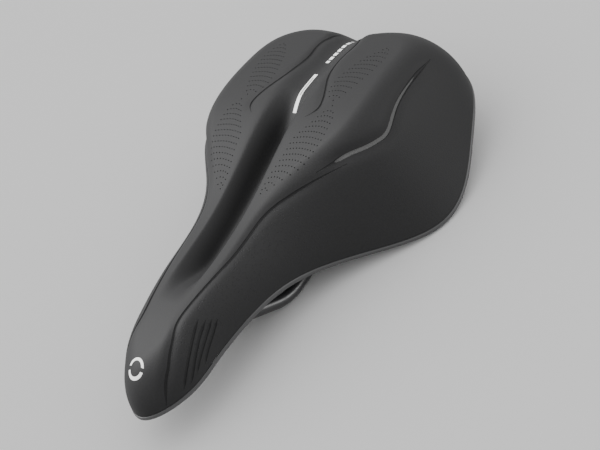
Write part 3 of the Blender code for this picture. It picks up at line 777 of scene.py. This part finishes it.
# %% [markdown]
# ## The base
#
# The base is a thin lattice layer. Under it stand cross ribs, the housing for the nose bush and two
# bosses for the rear buffers. They are joined to it, then trimmed level with its upper face by a solid
# that fills the foam's space, and bored for the bush, the screws and the inserts.


# %% The base
def lathe(name, profile, place, steps=48, along_x=False):
    """A closed turned piece from (radius, height) points, top to bottom."""
    bm = bmesh.new()
    rings = []
    for r, z in profile:
        if r < 1e-7:
            rings.append([bm.verts.new((0, 0, z))])
            continue
        turns = (2 * math.pi * i / steps for i in range(steps))
        rings.append([bm.verts.new((r * math.cos(a), r * math.sin(a), z)) for a in turns])
    closed = profile[0] == profile[-1]
    if closed:
        bmesh.ops.delete(bm, geom=rings[-1], context="VERTS")
        rings[-1] = rings[0]
    for a, b in zip(rings, rings[1:]):
        for i in range(steps):
            j = (i + 1) % steps
            corners = [a[i % len(a)], a[j % len(a)], b[j % len(b)], b[i % len(b)]]
            unique = list(dict.fromkeys(corners))
            if len(unique) > 2:
                bm.faces.new(unique)
    if along_x:
        bmesh.ops.rotate(bm, verts=bm.verts, matrix=Matrix.Rotation(math.pi / 2, 3, "Y"))
    bmesh.ops.translate(bm, verts=bm.verts, vec=Vector(place))
    bmesh.ops.recalc_face_normals(bm, faces=bm.faces)
    mesh = bpy.data.meshes.new(name)
    bm.to_mesh(mesh)
    bm.free()
    shade(mesh, 35)
    return linked(name, mesh)


def block(name, low, high):
    bm = bmesh.new()
    bmesh.ops.create_cube(bm, size=1.0)
    bmesh.ops.scale(bm, vec=Vector(high) - Vector(low), verts=bm.verts)
    bmesh.ops.translate(bm, verts=bm.verts, vec=(Vector(high) + Vector(low)) / 2)
    mesh = bpy.data.meshes.new(name)
    bm.to_mesh(mesh)
    bm.free()
    return linked(name, mesh)


def rod(radius, low, high, place, along_x=False):
    return lathe("rod", [(0.0, high), (radius, high), (radius, low), (0.0, low)], (*place, 0.0), 40, along_x)


def combine(obj, tools, operation):
    """Join or cut with a list of solids, which are used up."""
    for tool in tools:
        step = obj.modifiers.new("step", "BOOLEAN")
        step.operation = operation
        step.solver = "MANIFOLD"
        step.object = tool
        settle(obj)
        bpy.data.objects.remove(tool, do_unlink=True)


def settle(obj):
    """Apply every modifier."""
    graph = bpy.context.evaluated_depsgraph_get()
    graph.update()
    mesh = bpy.data.meshes.new_from_object(obj.evaluated_get(graph))
    obj.modifiers.clear()
    obj.data = mesh


def base_underside(y):
    along = (TAIL_Y - y) / LENGTH
    rear = SKIN_WALL + FOAM_DEPTH_REAR + 2 * GAP + BASE_WALL
    nose = SKIN_WALL + FOAM_DEPTH_NOSE + 2 * GAP + BASE_WALL
    deeper = (nose - rear) * float(ease(*NOSE_CHANGE, along))
    return SADDLE_HEIGHT - float(through(CROWN, along)[0]) - rear - deeper


BASE_LATTICE = (96, 12, 20)
base_inset = SKIN_WALL + FOAM_FLANK + 2 * GAP
top_rear = SKIN_WALL + FOAM_DEPTH_REAR + 2 * GAP
top_nose = SKIN_WALL + FOAM_DEPTH_NOSE + 2 * GAP
base_top = seat_lattice(*BASE_LATTICE, base_inset, top_rear, top_nose, LIFT)
base_low = seat_lattice(
    *BASE_LATTICE, base_inset + BASE_WALL, top_rear + BASE_WALL, top_nose + BASE_WALL, LIFT
)
foam_space_top = seat_lattice(*BASE_LATTICE, 0.0, -BASE_WALL, -BASE_WALL, LIFT)
foam_space_low = seat_lattice(
    *BASE_LATTICE, base_inset - GAP / 2, top_rear - GAP / 2, top_nose - GAP / 2, LIFT
)
base = closed_layer("moulded_base", base_top, base_low)
RIB_DROP = 0.0030
RIB_HALF = 0.0009
NOSE_BAR_Y, NOSE_BAR_Z = -0.100, 0.018
BUFFER_X, BUFFER_Y = 0.018, 0.080
BUSH_WALL = 0.0022
BORE = RAIL_RADIUS + BUSH_WALL + 2 * GAP
HOUSING_WALL = 0.0030
SCREW_OFF = BORE + HOUSING_WALL
CAP_HALF = SCREW_OFF + 0.0052
INSERT_RADIUS = 0.00425
INSERT_HEIGHT = 0.007
NOSE_SCREW_RADIUS = 0.0018
boss_low = base_underside(BUFFER_Y) - 0.005
pieces = [block("housing", (-0.004, NOSE_BAR_Y - CAP_HALF, NOSE_BAR_Z + GAP),
                (0.004, NOSE_BAR_Y + CAP_HALF, base_underside(NOSE_BAR_Y) + 2 * BASE_WALL))]
for y in (0.052, 0.030, 0.008, -0.014, -0.036, -0.058):
    low = base_underside(y) - RIB_DROP
    half = 0.034 if y > 0.0 else 0.020
    pieces.append(block("rib", (-half, y - RIB_HALF, low), (half, y + RIB_HALF, low + 0.006)))
for way in (1, -1):
    place = (way * BUFFER_X, BUFFER_Y)
    pieces.append(rod(0.010, boss_low, base_underside(BUFFER_Y) + BASE_WALL + PAD_RISE, place))
combine(base, pieces, "UNION")
cuts = [closed_layer("foam_space", foam_space_top, foam_space_low)]
bore_profile = [(0, 0.02), (BORE, 0.02), (BORE, -0.02), (0, -0.02)]
cuts.append(lathe("bore", bore_profile, (0, NOSE_BAR_Y, NOSE_BAR_Z), 48, True))
SCREW_TOP = NOSE_BAR_Z + BORE + HOUSING_WALL
for way in (1, -1):
    cuts.append(rod(NOSE_SCREW_RADIUS + GAP, 0.0, SCREW_TOP + GAP, (0.0, NOSE_BAR_Y + way * SCREW_OFF)))
    place = (way * BUFFER_X, BUFFER_Y)
    cuts.append(rod(INSERT_RADIUS + GAP, boss_low - 0.004, boss_low + INSERT_HEIGHT + GAP, place))
combine(base, cuts, "DIFFERENCE")
shade(base.data, 35)
print("base", triangles(base), "triangles,", open_edges(base), "open edges")

# %% [markdown]
# ## Turned and moulded small parts
#
# The buffers, bush, washers and inserts are turned. Bolts and screws are turned too, with a hex socket
# cut by a six-sided rod. The bridge, the nose cap and the rail's end caps keep the CAD's outline and
# bores, copied and softened with a narrow bevel, so that their edges catch the light.


# %% Turned parts
def soft(profile_radius, low, high, edge=0.0004, bore=None):
    """Profile of a cylinder with broken edges, solid or bored."""
    outer = [(profile_radius - edge, high), (profile_radius, high - edge), (profile_radius, low + edge)]
    outer.append((profile_radius - edge, low))
    if bore is None:
        return [(0.0, high), *outer, (0.0, low)]
    return [(bore, high), *outer, (bore, low), (bore, high)]


def screw(name, shank, head, tip, under, head_end, place, hex_radius):
    """A socket screw along Z: its head lies between under and head_end, and its tip is at the other end."""
    way = 1 if tip > under else -1
    edge = 0.0004
    profile = [
        (0.0, tip), (shank - edge, tip), (shank, tip - way * edge), (shank, under), (head - edge / 2, under),
        (head, under - way * edge / 2), (head, head_end + way * edge), (head - edge, head_end),
        (0.0, head_end),
    ]
    obj = lathe(name, profile, (*place, 0.0), 40)
    deep = abs(under - head_end) * 0.5
    low, high = sorted((head_end + way * deep, head_end - way * 0.001))
    key = lathe("key", [(0.0, high), (hex_radius, high), (hex_radius, low), (0.0, low)], (*place, 0.0), 6)
    combine(obj, [key], "DIFFERENCE")
    shade(obj.data, 35)
    return obj


RAIL_END_Z = 0.008
CAP_WALL = 0.0020
BRIDGE_THICK = 0.003
BUFFER_RADIUS = 0.0095
BOLT_RADIUS = 0.0025
WASHER_RADIUS = 0.0055
WASHER_THICK = 0.0012
BRIDGE_LOW = RAIL_END_Z + RAIL_RADIUS + GAP + CAP_WALL + GAP
BRIDGE_TOP = BRIDGE_LOW + BRIDGE_THICK
buffer_low, buffer_top = BRIDGE_TOP + GAP, boss_low - GAP
made = []
for side, way in (("left", 1), ("right", -1)):
    place = (way * BUFFER_X, BUFFER_Y)
    height = buffer_top - buffer_low
    wall = []
    for i in range(25):
        t = i / 24
        pinched = BUFFER_RADIUS - 0.00125 * math.sin(math.pi * t) ** 0.7
        bulge = pinched - 0.00035 * math.cos(6 * math.pi * t) ** 8
        wall.append((bulge, buffer_top - 0.0003 - (height - 0.0006) * t))
    inner = BOLT_RADIUS + 2 * GAP
    profile = [(inner, buffer_top), (0.0090, buffer_top), *wall, (0.0090, buffer_low), (inner, buffer_low)]
    profile.append((inner, buffer_top))
    buffer = lathe("buffer_" + side, profile, (*place, 0.0))
    made.append((buffer, "elastomer_" + side, "seat_or_rail", "buffer_rubber"))
    washer_top = BRIDGE_LOW - GAP
    disc = soft(WASHER_RADIUS, washer_top - WASHER_THICK, washer_top, 0.0002, BOLT_RADIUS + GAP)
    washer = lathe("washer_" + side, disc, (*place, 0.0))
    made.append((washer, "elastomer_washer_" + side, "seat", "zinc_plate"))
    sleeve = soft(INSERT_RADIUS, boss_low, boss_low + INSERT_HEIGHT, 0.0003, BOLT_RADIUS + GAP)
    insert = lathe("insert_" + side, sleeve, (*place, 0.0))
    made.append((insert, "threaded_insert_" + side, "seat", "brass"))
    under = washer_top - WASHER_THICK - GAP
    tip = boss_low + INSERT_HEIGHT - GAP
    bolt = screw("bolt_" + side, BOLT_RADIUS, 0.00475, tip, under, under - 0.004, place, 0.0024)
    made.append((bolt, "elastomer_bolt_" + side, "seat", "zinc_plate"))
    y = 0.092 + GAP + 0.0016 + 0.0020
    top = BRIDGE_TOP + GAP
    foot = RAIL_END_Z - (RAIL_RADIUS + GAP + CAP_WALL) / 2
    spot = (way * 0.030, y)
    small = screw("bridge_screw_piece_" + side, 0.0016, 0.0031, foot, top, top + 0.0020, spot, 0.0015)
    made.append((small, "bridge_screw_" + side, "rail_frame", "zinc_plate"))
cap_low = NOSE_BAR_Z - BORE - HOUSING_WALL
for side, way in (("front", -1), ("rear", 1)):
    place = (0.0, NOSE_BAR_Y + way * SCREW_OFF)
    under = cap_low - GAP
    low_end = under - 0.0024
    piece = screw("nose_bolt_" + side, NOSE_SCREW_RADIUS, 0.0035, SCREW_TOP, under, low_end, place, 0.0017)
    made.append((piece, "nose_screw_" + side, "seat", "zinc_plate"))
bush_profile = soft(RAIL_RADIUS + GAP + BUSH_WALL, -0.004, 0.004, 0.0004, RAIL_RADIUS + GAP)
bush = lathe("bush", bush_profile, (0.0, NOSE_BAR_Y, NOSE_BAR_Z), 48, True)
made.append((bush, "nose_bush", "rail_frame", "buffer_rubber"))


# %% Bevelled copies
def softened(name, node, width=0.0005, segments=3):
    """A bevelled copy of a CAD node."""
    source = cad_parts[node]
    obj = bpy.data.objects.new(name, source.data.copy())
    obj.data.materials.clear()
    bpy.context.scene.collection.objects.link(obj)
    obj.data.transform(source.matrix_world)
    bm = bmesh.new()
    bm.from_mesh(obj.data)
    bmesh.ops.remove_doubles(bm, verts=bm.verts, dist=1e-6)
    bmesh.ops.dissolve_limit(bm, angle_limit=math.radians(1), verts=bm.verts, edges=bm.edges)
    bmesh.ops.recalc_face_normals(bm, faces=bm.faces)
    bm.to_mesh(obj.data)
    bm.free()
    bevel = obj.modifiers.new("bevel", "BEVEL")
    bevel.width = width
    bevel.segments = segments
    bevel.limit_method = "ANGLE"
    bevel.angle_limit = math.radians(50)
    bevel.use_clamp_overlap = True
    settle(obj)
    shade(obj.data, 32)
    return obj


made.append((softened("bridge_plate", "rear_bridge"), "rear_bridge", "rail_frame", "rail_steel"))
made.append((softened("nose_cap_piece", "nose_cap"), "nose_cap", "seat", "base_plastic"))
for side in ("left", "right"):
    cap = softened("end_cap_" + side, "rail_end_cap_" + side, 0.0008)
    made.append((cap, "rail_end_cap_" + side, "rail_frame", "base_plastic"))
for obj, node, _, _ in made:
    print(f"{obj.name:22s} {triangles(obj):6d} triangles {open_edges(obj)} open edges, for {node}")

# %% [markdown]
# ## Shader sums
#
# A shader tree is a sum written with boxes. This small class wraps one socket, so a mask or a bump can be
# written as a line of arithmetic, and one method makes any other node.


# %% Shader sums
class Flow:
    """One output socket of a shader tree, which can be added, multiplied and compared."""

    def __init__(self, tree, socket):
        self.tree = tree
        self.socket = socket

    def make(self, kind, inputs=None, out=0, **settings):
        made = self.tree.nodes.new(kind)
        for key, value in settings.items():
            setattr(made, key, value)
        for key, value in (inputs or {}).items():
            if isinstance(value, Flow):
                self.tree.links.new(value.socket, made.inputs[key])
            else:
                made.inputs[key].default_value = value
        return Flow(self.tree, made.outputs[out])

    def maths(self, operation, *values):
        return self.make("ShaderNodeMath", dict(enumerate(values)), operation=operation)

    def __add__(self, other):
        return self.maths("ADD", self, other)

    __radd__ = __add__

    def __mul__(self, other):
        return self.maths("MULTIPLY", self, other)

    __rmul__ = __mul__

    def __sub__(self, other):
        return self.maths("SUBTRACT", self, other)

    def __rsub__(self, other):
        return self.maths("SUBTRACT", other, self)

    def __truediv__(self, other):
        return self.maths("DIVIDE", self, other)

    def __rtruediv__(self, other):
        return self.maths("DIVIDE", other, self)

    def __neg__(self):
        return self.maths("MULTIPLY", self, -1.0)

    def __abs__(self):
        return self.maths("ABSOLUTE", self)

    def smooth(self, low, high, to_low=0.0, to_high=1.0):
        inputs = {0: self, 1: low, 2: high, 3: to_low, 4: to_high}
        return self.make("ShaderNodeMapRange", inputs, interpolation_type="SMOOTHSTEP")

    def within(self, low, high, edge):
        """1 between low and high, 0 outside, with soft edges."""
        return self.smooth(low - edge, low + edge) * self.smooth(high - edge, high + edge, 1.0, 0.0)

    def larger(self, other):
        return self.maths("MAXIMUM", self, other)

    def mix(self, first, second):
        """first where this is 0 and second where it is 1; each is a colour or a flow."""
        return self.make("ShaderNodeMix", {0: self, 6: first, 7: second}, out=2, data_type="RGBA")


class Paint:
    """A material with one Principled shader, and the flows that its patterns start from."""

    def __init__(self, name, colour, roughness, metallic=0.0, specular=0.5):
        self.material = bpy.data.materials.new(name)
        self.material.use_nodes = True
        self.tree = self.material.node_tree
        self.shader = self.tree.nodes["Principled BSDF"]
        self.shader.inputs["Base Color"].default_value = (*colour, 1.0)
        self.shader.inputs["Roughness"].default_value = roughness
        self.shader.inputs["Metallic"].default_value = metallic
        self.shader.inputs["Specular IOR Level"].default_value = specular
        coordinates = self.tree.nodes.new("ShaderNodeTexCoord")
        self.place = Flow(self.tree, coordinates.outputs["Object"])
        split = self.tree.nodes.new("ShaderNodeSeparateXYZ")
        self.tree.links.new(self.place.socket, split.inputs[0])
        self.x, self.y, self.z = (Flow(self.tree, split.outputs[i]) for i in range(3))

    def attribute(self, name):
        node = self.tree.nodes.new("ShaderNodeAttribute")
        node.attribute_name = name
        return Flow(self.tree, node.outputs["Fac"])

    def noise(self, scale, detail=2.0, roughness=0.5):
        inputs = {"Vector": self.place, "Scale": scale, "Detail": detail, "Roughness": roughness}
        return self.place.make("ShaderNodeTexNoise", inputs, out="Fac")

    def cells(self, scale, feature="F1", randomness=1.0):
        inputs = {"Vector": self.place, "Scale": scale, "Randomness": randomness}
        return self.place.make("ShaderNodeTexVoronoi", inputs, out="Distance", feature=feature)

    def feed(self, name, flow):
        self.tree.links.new(flow.socket, self.shader.inputs[name])

    def bump(self, height, distance, strength=1.0):
        inputs = {"Height": height, "Distance": distance, "Strength": strength}
        self.feed("Normal", height.make("ShaderNodeBump", inputs))


# %% [markdown]
# ## The skin's finish
#
# The skin is a matt black synthetic leather. Its colour is nearly even, with a fine grain that breaks up
# the light. A coarser moulded texture covers the flank of the nose. The light marks are printed: a slim
# bar on the centre line ahead of the channel, a row of plain dashes behind it, and a small ring on the
# nose. They are laid out in the part's own metres, so they stay sharp at any distance.

# %% The skin's finish
BAR_FROM, BAR_TO, BAR_HALF = 0.0516, 0.0794, 0.00125  # from the tail, and half the bar's width
DASHES_FROM, DASHES_TO, DASH_PITCH = 0.0150, 0.0405, 0.0042
MARK_FROM_TAIL, MARK_RADIUS, MARK_WIDTH = 0.2570, 0.0046, 0.0013

skin = Paint("skin_finish", (0.0165, 0.0165, 0.0170), 0.62, specular=0.20)
grain = skin.noise(1100.0, 3.0, 0.6)
pebble = skin.cells(1500.0, "SMOOTH_F1")
texture_mask = skin.attribute("moulded_texture")
dimple = skin.cells(760.0).smooth(0.16, 0.34)
tail_run = TAIL_Y - skin.y
off_centre = abs(skin.x)
upward = skin.z.smooth(0.030, 0.036)

bar_across = off_centre.smooth(BAR_HALF - 0.0001, BAR_HALF + 0.0001, 1.0, 0.0)
bar = bar_across * tail_run.within(BAR_FROM, BAR_TO, 0.0001)
slot_across = off_centre.smooth(0.0004, 0.0005, 1.0, 0.0)
slot_inside = slot_across * tail_run.within(BAR_FROM + 0.003, BAR_TO - 0.010, 0.0001)
bar = bar * (1.0 - slot_inside * 0.75)
beat = (tail_run / DASH_PITCH).maths("FRACT", tail_run / DASH_PITCH)
dashes = off_centre.smooth(0.0011, 0.0013, 1.0, 0.0) * tail_run.within(DASHES_FROM, DASHES_TO, 0.0001)
dashes = dashes * beat.within(0.14, 0.86, 0.02)
ring_x = skin.x
ring_y = tail_run - MARK_FROM_TAIL
away = (ring_x * ring_x + ring_y * ring_y).maths("SQRT", ring_x * ring_x + ring_y * ring_y)
ring = abs(away - MARK_RADIUS).smooth(MARK_WIDTH / 2, MARK_WIDTH / 2 + 0.0002, 1.0, 0.0)
ring = ring * abs(ring_y).smooth(0.0009, 0.0011)
print_mask = bar.larger(dashes).larger(ring) * upward
tone = (grain - 0.5) * 0.7 + 1.0
black = skin.place.make("ShaderNodeVectorMath", {0: (0.0165, 0.0165, 0.0170), 1: tone}, operation="MULTIPLY")
skin.feed("Base Color", print_mask.mix(black, (0.72, 0.72, 0.71, 1.0)))
skin.feed("Roughness", (grain - 0.5) * 0.16 + 0.62 - print_mask * 0.12)
relief = grain * 0.45 + pebble * 0.35 - (1.0 - dimple) * texture_mask * 1.6
skin.bump(relief, 0.00022, 0.55)

strip = Paint("strip_finish", (0.045, 0.045, 0.046), 0.45)
strip.bump(strip.noise(1600.0), 0.00008, 0.5)
plastic = Paint("plastic_finish", (0.028, 0.028, 0.029), 0.46)
plastic.feed("Roughness", plastic.noise(700.0) * 0.2 + 0.38)
plastic.bump(plastic.cells(1300.0), 0.00010, 0.5)
foam = Paint("foam_finish", (0.085, 0.085, 0.085), 0.95)
foam.bump(foam.cells(900.0), 0.0003, 0.8)
rubber = Paint("rubber_finish", (0.030, 0.030, 0.030), 0.78)
rubber.bump(rubber.noise(900.0), 0.00012, 0.5)
coat = Paint("rail_finish", (0.020, 0.020, 0.021), 0.34, specular=0.6)
coat.feed("Roughness", coat.noise(260.0, 4.0) * 0.22 + 0.26)
coat.bump(coat.noise(1400.0), 0.00005, 0.4)
zinc = Paint("zinc_finish", (0.56, 0.57, 0.59), 0.36, metallic=1.0)
zinc.feed("Roughness", zinc.noise(420.0, 4.0) * 0.3 + 0.24)
brass = Paint("brass_finish", (0.70, 0.52, 0.24), 0.34, metallic=1.0)
brass.feed("Roughness", brass.noise(500.0, 3.0) * 0.25 + 0.26)

# %% [markdown]
# ## Dressing the pieces
#
# Every piece is attached to the body it moves with and given the material of its slot, and the CAD node it
# replaces is hidden. The buffers sit between the rail and the seat, so they are attached to neither body
# and keep their place.

# %% Dressing the pieces
FINISHES = {
    "moulded_skin": skin, "edge_strip": strip, "base_plastic": plastic, "foam": foam,
    "buffer_rubber": rubber, "rail_steel": coat, "zinc_plate": zinc, "brass": brass,
}
made += [
    (cover, "cover_skin", "seat", "moulded_skin"),
    (foam_pad, "foam_padding", "seat", "foam"),
    (edge_strip, "edge_trim", "seat", "edge_strip"),
    (base, "base_shell", "seat", "base_plastic"),
    (rail, "rail_wire", "rail_frame", "rail_steel"),
]
for obj, node, body, slot in made:
    obj.data.materials.clear()
    obj.data.materials.append(FINISHES[slot].material)
    obj.data.update()
    if body == "seat_or_rail":
        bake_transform(obj)
    else:
        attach(obj, body)
    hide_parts(node)
print("pieces", len(made), "triangles", sum(triangles(obj) for obj, _, _, _ in made))

# %% [markdown]
# ## Floor, light and camera
#
# A plain white studio: the world lights everything softly, one large lamp stands high on the rider's
# right, and a weak one behind the tail draws the edge of the wing. Both lamps light the saddle only, so
# the floor stays an even white.

# %% Floor, light and camera
bpy.ops.mesh.primitive_plane_add(size=8.0, location=(0, 0, float(START_LOW[2]) - 0.001))
floor = bpy.context.object
floor.name = "floor"
floor_paint = Paint("floor_paint", (0.94, 0.94, 0.94), 0.9, specular=0.1)
floor.data.materials.append(floor_paint.material)

world = bpy.context.scene.world or bpy.data.worlds.new("studio")
bpy.context.scene.world = world
world.use_nodes = True
world.node_tree.nodes["Background"].inputs["Color"].default_value = (1.0, 1.0, 1.0, 1.0)
world.node_tree.nodes["Background"].inputs["Strength"].default_value = 0.95


def area_light(name, azimuth, elevation, distance, size, power):
    a, e = math.radians(azimuth), math.radians(elevation)
    back = Vector((math.sin(a) * math.cos(e), -math.cos(a) * math.cos(e), math.sin(e)))
    light = bpy.data.lights.new(name, "AREA")
    light.shape = "SQUARE"
    light.size = size
    light.energy = power
    obj = linked(name, light)
    obj.location = back * distance
    obj.rotation_mode = "QUATERNION"
    obj.rotation_quaternion = (-back).to_track_quat("-Z", "Y")
    return obj


lit = bpy.data.collections.new("saddle_pieces")
bpy.context.scene.collection.children.link(lit)
for obj, _, _, _ in made:
    lit.objects.link(obj)
key = area_light("key", -70, 58, 1.3, 0.9, 42)
rim = area_light("rim", 118, 16, 1.4, 0.6, 9)
for lamp in (key, rim):
    lamp.light_linking.receiver_collection = lit

VIEW_AZIMUTH = 55.4
VIEW_ELEVATION = 35.1
VIEW_ROLL = -32.3
VIEW_DISTANCE = 1.02
VIEW_LENS = 109.2
VIEW_SHIFT = (0.0664, -0.0213)
VIEW_TARGET = Vector((0.0, -0.008, 0.035))


def set_camera():
    a, e, r = (math.radians(v) for v in (VIEW_AZIMUTH, VIEW_ELEVATION, VIEW_ROLL))
    back = Vector((math.sin(a) * math.cos(e), -math.cos(a) * math.cos(e), math.sin(e)))
    right = Vector((math.cos(a), math.sin(a), 0.0))
    up = back.cross(right)
    across = right * math.cos(r) + up * math.sin(r)
    upward_side = up * math.cos(r) - right * math.sin(r)
    camera = bpy.data.cameras.new("camera")
    camera.lens = VIEW_LENS
    camera.sensor_width = 36.0
    camera.clip_start = 0.01
    camera.shift_x, camera.shift_y = VIEW_SHIFT
    obj = linked("camera", camera)
    obj.matrix_world = Matrix((across, upward_side, back)).transposed().to_4x4()
    obj.location = VIEW_TARGET + back * VIEW_DISTANCE
    bpy.context.scene.camera = obj


set_camera()
